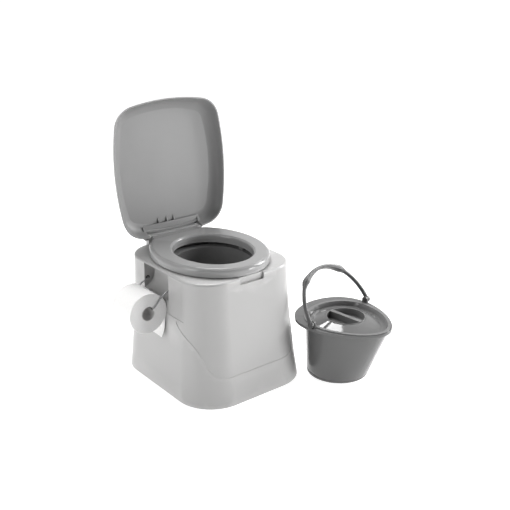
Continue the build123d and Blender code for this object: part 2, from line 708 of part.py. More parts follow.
with BuildPart() as seat:
    extrude(seat_face(SEAT_FOOT, 0), amount=SEAT_TOP - SEAT_FOOT)
    fillet(seat.faces().sort_by(Axis.Z)[-1].edges(), SEAT_ROUND)
    extrude(opening_face(SEAT_FOOT, 0), amount=SEAT_TOP - SEAT_FOOT, mode=Mode.SUBTRACT)
    opening_edge = seat.faces().sort_by(Axis.Z)[-1].inner_wires()[0].edges()
    fillet(opening_edge, OPENING_ROUND)
    add(seat_room.part, mode=Mode.SUBTRACT)
    # bosses that carry the buffers
    with BuildSketch(toilet_level(SEAT_FOOT)):
        with Locations(*BUFFER_PLACES):
            Circle(BUFFER_RADIUS)
    extrude(amount=SEAT_TOP - SEAT_FOOT - SEAT_SKIN)
    # hinge barrel along the rear, hollow from below between its two ears
    with BuildSketch(toilet_side(-SEAT_EAR[1])):
        with Locations((HINGE_Y, HINGE_Z)):
            Circle(HINGE_EYE_RADIUS)
        with BuildLine():
            Polyline(
                (HINGE_Y, HINGE_Z + FAIRING_TOP),
                (SEAT_EAR_ROOT_Y, SEAT_TOP - SEAT_SKIN),
                (SEAT_EAR_ROOT_Y, SEAT_FOOT + SEAT_SKIN),
                (HINGE_Y, HINGE_Z - HINGE_EYE_RADIUS),
                close=True,
            )
        make_face()
    extrude(amount=2 * SEAT_EAR[1])
    with BuildSketch(toilet_side(-SEAT_EAR[0])):
        with Locations((HINGE_Y, HINGE_Z)):
            Circle(HINGE_EYE_RADIUS - BARREL_SKIN)
        with Locations((HINGE_Y, HINGE_Z - HINGE_EYE_RADIUS)):
            Rectangle(2 * (HINGE_EYE_RADIUS - BARREL_SKIN), 2 * HINGE_EYE_RADIUS)
    extrude(amount=2 * SEAT_EAR[0], mode=Mode.SUBTRACT)
    with BuildSketch(toilet_side(-SEAT_EAR[1])):
        with Locations((HINGE_Y, HINGE_Z)):
            Circle(HINGE_PIN_RADIUS + RUNNING_FIT)
    extrude(amount=2 * SEAT_EAR[1], mode=Mode.SUBTRACT)
seat.part.label = "seat"
export_step(seat.part, "parts/seat.step")

with BuildPart() as seat_buffers:
    with BuildSketch(toilet_level(SEAT_FOOT - BUFFER_HEIGHT)):
        with Locations(*BUFFER_PLACES):
            Circle(BUFFER_RADIUS)
    extrude(amount=BUFFER_HEIGHT)
seat_buffers.part.label = "seat_buffers"
export_step(seat_buffers.part, "parts/seat_buffers.step")


# ---------------------------------------------------------------- lid


def lid_face(height, inset):
    """Barrel-sided rounded outline of the lid, pulled in by inset."""
    corner_x = LID_CORNER_X - inset
    corner_y = LID_CORNER_Y - inset
    side_x = LID_SIDE_X - inset
    end_y = LID_END_Y - inset
    centre = LID_CENTRE_Y
    with BuildSketch(lid_level(height)) as outline:
        with BuildLine():
            ThreePointArc((corner_x, centre - corner_y), (side_x, centre), (corner_x, centre + corner_y))
            ThreePointArc((corner_x, centre + corner_y), (0, centre + end_y), (-corner_x, centre + corner_y))
            ThreePointArc((-corner_x, centre + corner_y), (-side_x, centre), (-corner_x, centre - corner_y))
            ThreePointArc((-corner_x, centre - corner_y), (0, centre - end_y), (corner_x, centre - corner_y))
        make_face()
        fillet(outline.vertices(), LID_CORNER_ROUND - inset)
    return outline.sketch.face()


with BuildPart() as lid_room:
    room_sections = [lid_face(LID_RIM, LID_WALL)]
    room_sections += [lid_face(height - LID_WALL, inset + LID_WALL) for height, inset in LID_PROFILE[1:]]
    loft(sections=room_sections)

with BuildPart() as lid:
    loft(sections=[lid_face(height, inset) for height, inset in LID_PROFILE])
    add(lid_room.part, mode=Mode.SUBTRACT)
    # wide notch in the rear wall for the towers and the seat's barrel
    with BuildSketch(lid_side(-LID_NOTCH_HALF)):
        with Locations(((LID_NOTCH_FRONT + LID_NOTCH_REAR) / 2, LID_NOTCH_TOP + LID_RIM)):
            Rectangle(LID_NOTCH_REAR - LID_NOTCH_FRONT, -2 * LID_RIM)
    extrude(amount=2 * LID_NOTCH_HALF, mode=Mode.SUBTRACT)
    # hood that closes the gap behind the barrel at every angle
    with BuildSketch(lid_side(-HOOD_HALF)):
        with BuildLine():
            outer_arc = CenterArc((0, 0), HOOD_OUTER, HOOD_START, HOOD_END - HOOD_START)
            inner_arc = CenterArc((0, 0), HOOD_INNER, HOOD_START, HOOD_END - HOOD_START)
            Line(outer_arc @ 0, inner_arc @ 0)
            Line(outer_arc @ 1, inner_arc @ 1)
        make_face()
    extrude(amount=2 * HOOD_HALF)
    # flat web from the hood to the rear wall where its corners curve away
    with BuildSketch(lid_side(-LID_EAR[1])):
        with BuildLine():
            Polyline(*HOOD_WEB_OUTLINE, close=True)
        make_face()
    extrude(amount=2 * LID_EAR[1])
    # hinge ears
    for inner, outer in mirrored_spans(LID_EAR):
        with BuildSketch(lid_side(inner)):
            Circle(HINGE_EYE_RADIUS)
            with BuildLine():
                Polyline(
                    (0, HINGE_EYE_RADIUS),
                    (LID_EAR_ROOT_Y, LID_TOP - LID_WALL / 2),
                    (LID_EAR_ROOT_Y, LID_EAR_ROOT_FOOT),
                    (0, -HINGE_EYE_RADIUS),
                    close=True,
                )
            make_face()
            Circle(HINGE_PIN_RADIUS + RUNNING_FIT, mode=Mode.SUBTRACT)
        extrude(amount=outer - inner)
    # stiffening gussets inside the rear wall
    for x in GUSSET_XS:
        with BuildSketch(lid_side(x - GUSSET_THICKNESS / 2)):
            with BuildLine():
                Polyline(*GUSSET_OUTLINE, close=True)
            make_face()
        extrude(amount=GUSSET_THICKNESS)
lid.part.label = "lid"
export_step(lid.part, "parts/lid.step")


# ---------------------------------------------------------------- roll holder


def roll_front(y):
    """Upright plane across the roll's axis, centred on it: local x to the right, local y up."""
    return Plane(origin=(TOILET_X + ROLL_X, TOILET_Y + y, ROLL_Z), x_dir=(1, 0, 0), z_dir=(0, -1, 0))


# One bent wire: its out-turned ends pivot in the pocket's end walls, its legs drop to a
# straight middle that runs through the roll's core
core_touch = CORE_INNER - WIRE_RADIUS - CORE_GAP
spindle = (
    ROLL_X + core_touch * math.cos(WIRE_IN_CORE_ANGLE),
    ROLL_Z + core_touch * math.sin(WIRE_IN_CORE_ANGLE),
)
wire_stations = (
    (POCKET_REAR_Y + POCKET_SKIN + WIRE_END, WIRE_PIVOT),
    (POCKET_REAR_Y - WIRE_REACH, WIRE_PIVOT),
    (POCKET_REAR_Y - WIRE_REACH, WIRE_KNEE),
    (ROLL_Y + ROLL_LENGTH / 2 + LEG_CLEARANCE, spindle),
    (ROLL_Y - ROLL_LENGTH / 2 - LEG_CLEARANCE, spindle),
    (ROLL_Y - ROLL_LENGTH / 2 - LEG_CLEARANCE, WIRE_KNEE),
    (POCKET_FRONT_Y + WIRE_REACH, WIRE_PIVOT),
    (POCKET_FRONT_Y - POCKET_SKIN - WIRE_END, WIRE_PIVOT),
)
wire_points = [(TOILET_X + place[0], TOILET_Y + y, place[1]) for y, place in wire_stations]
with BuildPart() as roll_wire:
    with BuildLine() as wire_path:
        FilletPolyline(*wire_points, radius=WIRE_BEND)
    with BuildSketch(Plane(origin=wire_path.line @ 0, z_dir=wire_path.line % 0)):
        Circle(WIRE_RADIUS)
    sweep(transition=Transition.ROUND)
roll_wire.part.label = "roll_wire"
export_step(roll_wire.part, "parts/roll_wire.step")

roll_near_face = roll_front(ROLL_Y - ROLL_LENGTH / 2)
with BuildPart() as roll_core:
    with BuildSketch(roll_near_face):
        Circle(CORE_INNER + CORE_WALL)
        Circle(CORE_INNER, mode=Mode.SUBTRACT)
    extrude(amount=-ROLL_LENGTH)
roll_core.part.label = "roll_core"
export_step(roll_core.part, "parts/roll_core.step")

with BuildPart() as toilet_roll:
    with BuildSketch(roll_near_face):
        Circle(ROLL_RADIUS)
        Circle(CORE_INNER + CORE_WALL, mode=Mode.SUBTRACT)
    extrude(amount=-ROLL_LENGTH)
toilet_roll.part.label = "toilet_roll"
export_step(toilet_roll.part, "parts/toilet_roll.step")

# Loose end of the paper, lying along the roll on the wall side and hanging off it
tail_radius = ROLL_RADIUS + TAIL_GAP + TAIL_THICKNESS / 2
with BuildPart() as paper_tail:
    with BuildSketch(roll_near_face):
        with BuildLine() as tail_line:
            wrapped = CenterArc((0, 0), tail_radius, TAIL_START, TAIL_END - TAIL_START)
            Line(wrapped @ 1, (TAIL_TIP[0] - ROLL_X, TAIL_TIP[1] - ROLL_Z))
            offset(amount=TAIL_THICKNESS / 2, kind=Kind.INTERSECTION)
        make_face()
    extrude(amount=-ROLL_LENGTH)
paper_tail.part.label = "paper_tail"
export_step(paper_tail.part, "parts/paper_tail.step")
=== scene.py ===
import math

import bmesh
import bpy
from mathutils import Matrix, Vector


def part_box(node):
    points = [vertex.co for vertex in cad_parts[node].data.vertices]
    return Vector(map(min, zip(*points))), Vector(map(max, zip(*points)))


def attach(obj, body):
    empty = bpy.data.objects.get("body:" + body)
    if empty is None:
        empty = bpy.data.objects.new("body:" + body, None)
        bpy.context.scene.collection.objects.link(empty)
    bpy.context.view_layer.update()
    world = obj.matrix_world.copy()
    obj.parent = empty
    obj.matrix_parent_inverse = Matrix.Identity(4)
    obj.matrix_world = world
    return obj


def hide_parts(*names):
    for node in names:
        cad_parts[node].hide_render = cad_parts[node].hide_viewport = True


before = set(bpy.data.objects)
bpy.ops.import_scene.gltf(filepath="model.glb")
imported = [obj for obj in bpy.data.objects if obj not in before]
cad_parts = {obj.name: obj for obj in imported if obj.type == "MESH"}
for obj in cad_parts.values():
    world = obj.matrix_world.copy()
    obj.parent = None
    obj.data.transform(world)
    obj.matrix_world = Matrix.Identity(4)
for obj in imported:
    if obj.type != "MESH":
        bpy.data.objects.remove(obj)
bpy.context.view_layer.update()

# ---------------------------------------------------------------- camera, floor and light

CAMERA_AZIMUTH = math.radians(-38.49)
CAMERA_ELEVATION = math.radians(20.58)
CAMERA_PLACE = (-1.3534, -1.7378, 1.2007)
CAMERA_LENS = 57.66
CAMERA_SENSOR = 36.0
CAMERA_REACH = 200.0

FLOOR_HALF = 40.0
FLOOR_GREY = 0.50
FLOOR_GLOW = 0.82
FLOOR_ROUGHNESS = 0.9

WORLD_DIM_AZIMUTH = math.radians(-42.0)
WORLD_DIM = 0.05
WORLD_BRIGHT = 0.55
WORLD_FALL = (0.95, -0.2)  # cosines from the dim side: dim above the first, bright below the second


def turned_back(azimuth, elevation):
    """Unit vector from the scene to a camera or light at this azimuth and elevation."""
    return Vector((
        math.sin(azimuth) * math.cos(elevation),
        -math.cos(azimuth) * math.cos(elevation),
        math.sin(elevation),
    ))


def make_camera():
    data = bpy.data.cameras.new("Camera")
    data.lens = CAMERA_LENS
    data.sensor_width = CAMERA_SENSOR
    data.clip_end = CAMERA_REACH
    camera = bpy.data.objects.new("Camera", data)
    bpy.context.scene.collection.objects.link(camera)
    camera.location = CAMERA_PLACE
    camera.rotation_euler = turned_back(CAMERA_AZIMUTH, CAMERA_ELEVATION).to_track_quat("Z", "Y").to_euler()
    bpy.context.scene.camera = camera


def area_light(name, place, target, width, height, power):
    """A rectangular light at a place, turned to a target."""
    data = bpy.data.lights.new(name, "AREA")
    data.shape = "RECTANGLE"
    data.size = width
    data.size_y = height
    data.energy = power
    light = bpy.data.objects.new(name, data)
    bpy.context.scene.collection.objects.link(light)
    light.location = place
    light.rotation_euler = (Vector(place) - Vector(target)).to_track_quat("Z", "Y").to_euler()


def make_floor():
    """A plain floor that glows a little, as under a white studio."""
    corners = [(x * FLOOR_HALF, y * FLOOR_HALF, 0) for x, y in ((-1, -1), (1, -1), (1, 1), (-1, 1))]
    mesh = bpy.data.meshes.new("floor")
    mesh.from_pydata(corners, [], [(0, 1, 2, 3)])
    floor = bpy.data.objects.new("floor", mesh)
    bpy.context.scene.collection.objects.link(floor)
    material = bpy.data.materials.new("floor")
    material.use_nodes = True
    shader = material.node_tree.nodes["Principled BSDF"]
    shader.inputs["Base Color"].default_value = (FLOOR_GREY, FLOOR_GREY, FLOOR_GREY, 1)
    shader.inputs["Roughness"].default_value = FLOOR_ROUGHNESS
    shader.inputs["Emission Color"].default_value = (1, 1, 1, 1)
    shader.inputs["Emission Strength"].default_value = FLOOR_GLOW
    mesh.materials.append(material)


def make_world():
    """A soft white studio, dim on the side that the camera stands on."""
    world = bpy.data.worlds.new("studio")
    world.use_nodes = True
    tree = world.node_tree
    background = tree.nodes["Background"]
    place = tree.nodes.new("ShaderNodeTexCoord")
    toward = tree.nodes.new("ShaderNodeVectorMath")
    toward.operation = "DOT_PRODUCT"
    toward.inputs[1].default_value = turned_back(WORLD_DIM_AZIMUTH, 0.0)
    fall = tree.nodes.new("ShaderNodeMapRange")
    fall.interpolation_type = "SMOOTHSTEP"
    fall.inputs["From Min"].default_value = WORLD_FALL[0]
    fall.inputs["From Max"].default_value = WORLD_FALL[1]
    fall.inputs["To Min"].default_value = WORLD_DIM
    fall.inputs["To Max"].default_value = WORLD_BRIGHT
    tree.links.new(place.outputs["Generated"], toward.inputs[0])
    tree.links.new(toward.outputs["Value"], fall.inputs["Value"])
    tree.links.new(fall.outputs["Result"], background.inputs["Strength"])
    background.inputs["Color"].default_value = (1, 1, 1, 1)
    bpy.context.scene.world = world


make_camera()
make_floor()
make_world()
area_light("key", place=(3.0, -0.8, 1.7), target=(0.0, 0.0, 0.3), width=1.3, height=2.0, power=106)
area_light("low_right", place=(1.5, -2.1, 0.45), target=(0.0, -0.1, 0.15), width=0.7, height=0.7, power=30)
area_light("left", place=(-2.7, 0.15, 1.25), target=(-0.1, 0.1, 0.3), width=1.1, height=1.8, power=29)
area_light("rear_top", place=(0.32, 1.0, 2.05), target=(0.1, -0.1, 0.2), width=0.9, height=1.15, power=50)
bpy.context.scene.view_settings.view_transform = "Standard"


# ---------------------------------------------------------------- materials


def grey(value):
    """Linear value of an 8-bit screen grey."""
    v = value / 255
    return v / 12.92 if v <= 0.04045 else ((v + 0.055) / 1.055) ** 2.4


def tint(value, warm=0.0):
    """Colour of a screen grey, a little warm or cool."""
    g = grey(value)
    return (g * (1 + warm), g, g * (1 - warm), 1)


BRIGHTEST = 0.95


def shade(colour, gain, lift=0.0):
    """A darker or lighter version of a colour, never quite white."""
    return tuple(min(c * gain + lift, BRIGHTEST) for c in colour[:3]) + (1,)


class Graph:
    """Short names for building one material's nodes."""

    def __init__(self, name):
        self.material = bpy.data.materials.new(name)
        self.material.use_nodes = True
        self.tree = self.material.node_tree
        self.shader = self.tree.nodes["Principled BSDF"]
        self.place = self.node("ShaderNodeTexCoord").outputs["Object"]

    def node(self, kind, **settings):
        made = self.tree.nodes.new(kind)
        for key, value in settings.items():
            setattr(made, key, value)
        return made

    def link(self, source, target):
        self.tree.links.new(source, target)

    def noise(self, scale, detail=2.0, roughness=0.5, stretch=None):
        made = self.node("ShaderNodeTexNoise")
        made.inputs["Scale"].default_value = scale
        made.inputs["Detail"].default_value = detail
        made.inputs["Roughness"].default_value = roughness
        if stretch is None:
            self.link(self.place, made.inputs["Vector"])
        else:
            mapping = self.node("ShaderNodeMapping")
            mapping.inputs["Scale"].default_value = stretch
            self.link(self.place, mapping.inputs["Vector"])
            self.link(mapping.outputs["Vector"], made.inputs["Vector"])
        return made.outputs["Fac"]

    def ramp(self, factor, low, high, first, last):
        made = self.node("ShaderNodeMapRange")
        made.inputs["From Min"].default_value = low
        made.inputs["From Max"].default_value = high
        made.inputs["To Min"].default_value = first
        made.inputs["To Max"].default_value = last
        self.link(factor, made.inputs["Value"])
        return made.outputs["Result"]

    def mix(self, factor, first, second):
        made = self.node("ShaderNodeMix", data_type="RGBA")
        self.link(factor, made.inputs["Factor"])
        for value, target in ((first, made.inputs["A"]), (second, made.inputs["B"])):
            if hasattr(value, "is_linked"):
                self.link(value, target)
            else:
                target.default_value = value
        return made.outputs["Result"]

    def bump(self, height, distance, strength=1.0, below=None):
        made = self.node("ShaderNodeBump")
        made.inputs["Distance"].default_value = distance
        made.inputs["Strength"].default_value = strength
        self.link(height, made.inputs["Height"])
        if below is not None:
            self.link(below, made.inputs["Normal"])
        return made.outputs["Normal"]


NOISE_RANGE = (0.3, 0.7)  # most of a noise's values lie here
CLOUD_SCALE = 5.0
WAVE_SCALE = 9.0
SCUFF_SCALE = 22.0
SCUFF_STRETCH = (1.0, 1.0, 0.35)
GRAIN_SCALE = 900.0
PLASTIC_IOR = 1.49
EDGE_WEAR_AND_HIGHLIGHT_GAIN = 1.25
EDGE_WEAR_AND_HIGHLIGHT_LIFT = 0.03
EDGE_POINTINESS = (0.505, 0.56)  # from flat to an edge paled by rubbed wear and by painted highlight
STEP_SOFTNESS = 0.0003


def plastic(name, value, warm=0.0, rough=(0.3, 0.42), grain_depth=0.00004,
            wave_depth=0.0004, wear_and_highlight=0.25, spread=0.05, steps=()):
    """Moulded plastic: fine grain, slow mould waviness, uneven gloss, and edges paled both by rubbed wear
    and by painted highlight.

    steps are (height, rise) pairs: shallow steps in the surface at those heights."""
    g = Graph(name)
    base = tint(value, warm)
    cloud = g.noise(CLOUD_SCALE, 4.0, 0.6)
    colour = g.mix(g.ramp(cloud, *NOISE_RANGE, 0.0, 1.0), shade(base, 1 - spread), shade(base, 1 + spread))
    # Pointiness pales the edges: partly rubbed wear, partly a painted highlight along edges that would
    # catch the light
    edge = g.ramp(g.node("ShaderNodeNewGeometry").outputs["Pointiness"], *EDGE_POINTINESS, 0.0, wear_and_highlight)
    g.link(g.mix(edge, colour, shade(base, EDGE_WEAR_AND_HIGHLIGHT_GAIN, EDGE_WEAR_AND_HIGHLIGHT_LIFT)), g.shader.inputs["Base Color"])
    scuff = g.noise(SCUFF_SCALE, 5.0, 0.65, SCUFF_STRETCH)
    g.link(g.ramp(scuff, *NOISE_RANGE, *rough), g.shader.inputs["Roughness"])
    slow = g.bump(g.noise(WAVE_SCALE, 1.0), wave_depth)
    for height, rise in steps:
        level = g.node("ShaderNodeSeparateXYZ")
        g.link(g.place, level.inputs["Vector"])
        edge_line = g.ramp(level.outputs["Z"], height - STEP_SOFTNESS, height + STEP_SOFTNESS, 0.0, 1.0)
        slow = g.bump(edge_line, rise, 1.0, slow)
    g.link(g.bump(g.noise(GRAIN_SCALE, 3.0, 0.6), grain_depth, 1.0, slow), g.shader.inputs["Normal"])
    g.shader.inputs["IOR"].default_value = PLASTIC_IOR
    return g.material


def rubber(name, value):
    """Dull rubber with paler, rougher dust in patches."""
    g = Graph(name)
    dust = g.noise(60.0, 5.0, 0.7)
    dusty = g.ramp(dust, 0.35, 0.75, 0.0, 0.6)
    g.link(g.mix(dusty, tint(value), tint(value + 22, 0.02)), g.shader.inputs["Base Color"])
    g.link(g.ramp(dust, *NOISE_RANGE, 0.62, 0.85), g.shader.inputs["Roughness"])
    g.link(g.bump(g.noise(700.0, 3.0), 0.00008), g.shader.inputs["Normal"])
    return g.material


STEEL_DARK = (0.34, 0.34, 0.35, 1)
STEEL_LIGHT = (0.62, 0.62, 0.63, 1)


def steel(name):
    """Bright wire, streaked along Y as if drawn."""
    g = Graph(name)
    drawn = g.noise(260.0, 3.0, 0.6, (1.0, 0.05, 1.0))
    g.link(g.mix(drawn, STEEL_DARK, STEEL_LIGHT), g.shader.inputs["Base Color"])
    g.shader.inputs["Metallic"].default_value = 1.0
    g.link(g.ramp(drawn, 0.2, 0.8, 0.22, 0.4), g.shader.inputs["Roughness"])
    g.link(g.bump(drawn, 0.00003), g.shader.inputs["Normal"])
    return g.material


def tissue(g, value, warm):
    """Faint fibres, soft shading and small embossed dots; gives the colour."""
    fibre = g.noise(420.0, 6.0, 0.75, (1.0, 0.6, 1.0))
    g.shader.inputs["Roughness"].default_value = 0.92
    g.shader.inputs["Specular IOR Level"].default_value = 0.2
    dots = g.node("ShaderNodeTexVoronoi")
    dots.inputs["Scale"].default_value = 170.0
    g.link(g.place, dots.inputs["Vector"])
    emboss = g.bump(g.ramp(dots.outputs["Distance"], 0.1, 0.45, 0.0, 1.0), 0.00035, 0.8)
    g.link(g.bump(fibre, 0.00012, 0.7, emboss), g.shader.inputs["Normal"])
    return g.mix(g.ramp(fibre, 0.3, 0.75, 0.0, 1.0), tint(value - 9, warm), tint(value, warm))


def paper(name, value, warm=0.006):
    """Plain embossed paper of one grey."""
    g = Graph(name)
    g.link(tissue(g, value, warm), g.shader.inputs["Base Color"])
    return g.material


RING_SPACING = 0.0032
TISSUE_GREY = 247
SHADED_END_RING_GREYS = (206, 232)
END_FACING = (0.6, 0.85)  # from the rounded rim to the flat end


def wound_paper(name):
    """Embossed tissue; the roll's ends are painted greyer as shade and show the wound layers as fine rings.
    """
    g = Graph(name)
    low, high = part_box("toilet_roll")
    from_axis = g.node("ShaderNodeVectorMath", operation="SUBTRACT")
    from_axis.inputs[1].default_value = (low + high) / 2
    g.link(g.place, from_axis.inputs[0])
    across = g.node("ShaderNodeVectorMath", operation="MULTIPLY")
    across.inputs[1].default_value = (1, 0, 1)
    g.link(from_axis.outputs["Vector"], across.inputs[0])
    radius = g.node("ShaderNodeVectorMath", operation="LENGTH")
    g.link(across.outputs["Vector"], radius.inputs[0])
    phase = g.node("ShaderNodeMath", operation="MULTIPLY")
    phase.inputs[1].default_value = 2 * math.pi / RING_SPACING
    g.link(radius.outputs["Value"], phase.inputs[0])
    wave = g.node("ShaderNodeMath", operation="SINE")
    g.link(phase.outputs["Value"], wave.inputs[0])
    # The end greys sit well below the tissue's grey: painted shade on the roll's ends, with fine rings for
    # the wound layers
    dark, light = (tint(value, 0.004) for value in SHADED_END_RING_GREYS)
    rings = g.mix(g.ramp(wave.outputs["Value"], -1.0, 1.0, 0.0, 1.0), dark, light)
    facing = g.node("ShaderNodeSeparateXYZ")
    g.link(g.node("ShaderNodeNewGeometry").outputs["Normal"], facing.inputs["Vector"])
    end_on = g.node("ShaderNodeMath", operation="ABSOLUTE")
    g.link(facing.outputs["Y"], end_on.inputs[0])
    is_end = g.ramp(end_on.outputs["Value"], *END_FACING, 0.0, 1.0)
    g.link(g.mix(is_end, tissue(g, TISSUE_GREY, 0.006), rings), g.shader.inputs["Base Color"])
    return g.material


MATERIALS = {
    "housing": plastic("housing_plastic", 169, 0.006, (0.30, 0.33), spread=0.006, wear_and_highlight=0.45,
                       grain_depth=0.00001, wave_depth=0.0001),
    "lid": plastic("lid_plastic", 123, 0.0, (0.43, 0.47), spread=0.03, wear_and_highlight=0.5),
    "seat": plastic("seat_plastic", 143, 0.0, (0.1, 0.17), spread=0.02, wear_and_highlight=0.35, grain_depth=0.00001,
                    steps=((0.3862, 0.0007), (0.3700, 0.0006))),
    "inner_pail": plastic("inner_pail_plastic", 114, 0.0, (0.16, 0.26), grain_depth=0.000008, wear_and_highlight=0.3),
    "pail": plastic("pail_plastic", 92, 0.0, (0.12, 0.2), grain_depth=0.000008, wear_and_highlight=0.45,
                    steps=((0.1665, 0.0006), (0.1595, 0.0005), (0.0060, 0.0005))),
    "pail_lid": plastic("pail_lid_plastic", 108, 0.0, (0.05, 0.09), grain_depth=0.000006, wear_and_highlight=0.5),
    "bail": plastic("bail_plastic", 78, 0.0, (0.26, 0.36), grain_depth=0.00001, wear_and_highlight=0.5),
    "bail_pins": plastic("bail_pin_plastic", 60, 0.0, (0.25, 0.4)),
    "bail_pin_caps": plastic("bail_cap_plastic", 70, 0.0, (0.25, 0.4)),
    "bail_washers": plastic("washer_plastic", 84, 0.0, (0.4, 0.5)),
    "hinge_pins": plastic("pin_plastic", 48, 0.0, (0.25, 0.4)),
    "hinge_caps": plastic("cap_plastic", 140, 0.0, (0.35, 0.45)),
    "wire_bushes": plastic("bush_plastic", 52, 0.0, (0.3, 0.4)),
    "foot_pads": rubber("pad_rubber", 40),
    "seat_buffers": rubber("buffer_rubber", 46),
    "roll_wire": steel("wire_steel"),
    "roll_core": paper("core_card", 214, 0.008),
    "toilet_roll": wound_paper("roll_paper"),
    "paper_tail": paper("tail_paper", TISSUE_GREY),
}


# ---------------------------------------------------------------- pieces made here


def ring_tube(name, rings, material, closed=False):
    """Smooth skin over rings of equal length, capped at both ends unless closed into a loop."""
    size = len(rings[0])
    verts = [tuple(p) for ring in rings for p in ring]
    faces = []
    spans = len(rings) if closed else len(rings) - 1
    for i in range(spans):
        a, b = i * size, ((i + 1) % len(rings)) * size
        for k in range(size):
            n = (k + 1) % size
            faces.append((a + k, a + n, b + n, b + k))
    if not closed:
        faces.append(tuple(reversed(range(size))))
        last = (len(rings) - 1) * size
        faces.append(tuple(last + k for k in range(size)))
    mesh = bpy.data.meshes.new(name)
    mesh.from_pydata(verts, [], faces)
    mesh.update()
    bm = bmesh.new()
    bm.from_mesh(mesh)
    bmesh.ops.recalc_face_normals(bm, faces=bm.faces)
    bm.to_mesh(mesh)
    bm.free()
    mesh.materials.append(material)
    for face in mesh.polygons:
        face.use_smooth = True
    made = bpy.data.objects.new(name, mesh)
    bpy.context.scene.collection.objects.link(made)
    return made


def smooth_step(low, high, value):
    """0 below low and 1 above high, with a smooth rise between."""
    t = min(max((value - low) / (high - low), 0.0), 1.0)
    return t * t * (3 - 2 * t)


DISC_EDGE = 0.0012
DISC_EDGE_STEPS = 5
DISC_STEPS = 56


def ring_disc(name, centre, axis, span, bore, radius, material):
    """Thick washer over a span of its axis, with rounded outer edges."""
    axis = axis.normalized()
    side = axis.orthogonal().normalized()
    other = axis.cross(side)
    start, end = span
    rim = radius - DISC_EDGE
    turns = [math.pi / 2 * k / DISC_EDGE_STEPS for k in range(1, DISC_EDGE_STEPS + 1)]
    profile = [(start, bore), (start, rim)]
    profile += [(start + DISC_EDGE * (1 - math.cos(t)), rim + DISC_EDGE * math.sin(t)) for t in turns]
    profile += [(end - DISC_EDGE * (1 - math.sin(t)), rim + DISC_EDGE * math.cos(t)) for t in turns]
    profile.append((end, bore))
    rings = []
    for i in range(DISC_STEPS):
        turn = 2 * math.pi * i / DISC_STEPS
        spoke = side * math.cos(turn) + other * math.sin(turn)
        rings.append([centre + axis * along + spoke * out for along, out in profile])
    return ring_tube(name, rings, material, closed=True)


# Bail: a grooved strap that widens to a ribbed grip, in the arch's own plane
PAIL_HEADING = math.radians(-83.2)
PAIL_AHEAD = Vector((math.cos(PAIL_HEADING), math.sin(PAIL_HEADING), 0.0))
PAIL_ACROSS = Vector((-PAIL_AHEAD.y, PAIL_AHEAD.x, 0.0))
BAIL_LEAN = math.radians(36.0)
BAIL_HALF_SPAN = 0.131
BAIL_RISE = 0.145
BAIL_END_GAP = 0.0066  # the strap ends in the eye rings, clear of the pins
BAIL_END = math.acos(BAIL_END_GAP / BAIL_RISE)
BAIL_STATIONS = 260
BAIL_UP = -PAIL_AHEAD * math.sin(BAIL_LEAN) + Vector((0, 0, math.cos(BAIL_LEAN)))
BAIL_NORMAL = PAIL_AHEAD * math.cos(BAIL_LEAN) + Vector((0, 0, math.sin(BAIL_LEAN)))
GRIP_FULL = 0.074  # from the middle: the grip's full width to here
GRIP_GONE = 0.094
STRAP_HALF_WIDTH = 0.0062
STRAP_HALF_THICK = 0.0036
GRIP_WIDENING = 0.0050
GRIP_THICKENING = 0.0040
SHOULDER_RISE = 0.0052
SHOULDER_SPREAD = 0.019
GROOVE_DEPTH = 0.0024
GROOVE_SHARE = 0.5  # of the strap's half width
RIB_HEIGHT = 0.0004
RIB_SPACING = 0.006
SECTION_POINTS = 28
SECTION_POWER = 0.45  # 1 is an ellipse, and less is squarer
EYE_SPAN = (0.1271, 0.1350)
EYE_BORE = 0.0036
EYE_RADIUS = 0.0090


def squared(value):
    """A sine or cosine pushed outward, which makes a rounded rectangle of a circle."""
    return math.copysign(abs(value) ** SECTION_POWER, value)


def bail_section(angle):
    """Rounded strap section at an angle of the arch, with a shallow groove along its outside."""
    across = BAIL_HALF_SPAN * math.sin(angle)
    wide = 1.0 - smooth_step(GRIP_FULL, GRIP_GONE, abs(across))
    half_width = STRAP_HALF_WIDTH + GRIP_WIDENING * wide
    shoulder = math.exp(-(((abs(across) - GRIP_FULL) / SHOULDER_SPREAD) ** 2))
    outer_thick = STRAP_HALF_THICK + SHOULDER_RISE * shoulder
    inner_thick = STRAP_HALF_THICK + GRIP_THICKENING * wide
    groove = GROOVE_DEPTH * (1.0 - wide)
    rib = RIB_HEIGHT * wide * math.cos(across * 2 * math.pi / RIB_SPACING)
    outline = []
    for k in range(SECTION_POINTS):
        turn = 2 * math.pi * k / SECTION_POINTS
        x = half_width * squared(math.cos(turn))
        rise = squared(math.sin(turn))
        y = (outer_thick if rise > 0 else inner_thick) * rise
        if y > 0:
            y -= groove * math.exp(-((x / (GROOVE_SHARE * half_width)) ** 4)) - rib
        outline.append((x, y))
    return outline


def make_bail():
    """The strap, and the two eyes that turn on the pivot pins."""
    low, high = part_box("bail_pins")
    foot = (low + high) / 2
    rings = []
    for i in range(BAIL_STATIONS + 1):
        angle = BAIL_END * (2 * i / BAIL_STATIONS - 1)
        sine, cosine = math.sin(angle), math.cos(angle)
        centre = foot + PAIL_ACROSS * (BAIL_HALF_SPAN * sine) + BAIL_UP * (BAIL_RISE * cosine)
        outward = PAIL_ACROSS * (BAIL_RISE * sine) + BAIL_UP * (BAIL_HALF_SPAN * cosine)
        outward.normalize()
        rings.append([centre + BAIL_NORMAL * x + outward * y for x, y in bail_section(angle)])
    strap = ring_tube("bail_strap", rings, MATERIALS["bail"])
    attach(strap, "bail")
    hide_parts("bail")
    for name, axis in (("bail_eye_left", -PAIL_ACROSS), ("bail_eye_right", PAIL_ACROSS)):
        eye = ring_disc(name, foot, axis, EYE_SPAN, EYE_BORE, EYE_RADIUS, MATERIALS["bail"])
        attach(eye, "bail")


